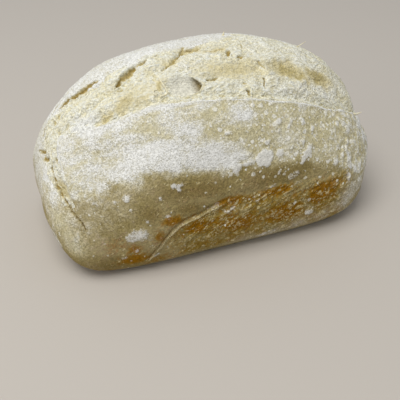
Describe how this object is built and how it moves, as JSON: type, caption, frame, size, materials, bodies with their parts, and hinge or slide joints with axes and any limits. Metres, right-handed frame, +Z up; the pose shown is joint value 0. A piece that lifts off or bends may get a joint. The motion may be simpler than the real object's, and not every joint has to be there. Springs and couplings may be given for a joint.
{
  "type": "sourdough loaf",
  "caption": "Tin-baked sourdough loaf with a floury pale crust, torn open along the top and down one end, on a flat base",
  "frame": {"origin": "middle of the loaf's plan, on the flat base", "axes": "X along the loaf, -Y towards the side with the smooth front crust, +Z up"},
  "size_m": [0.2122, 0.1146, 0.1128],
  "materials": {
    "crust": "dry matt bread crust with a dusting of flour"
  },
  "bodies": {
    "root": {"loaf": "crust"}
  },
  "joints": []
}
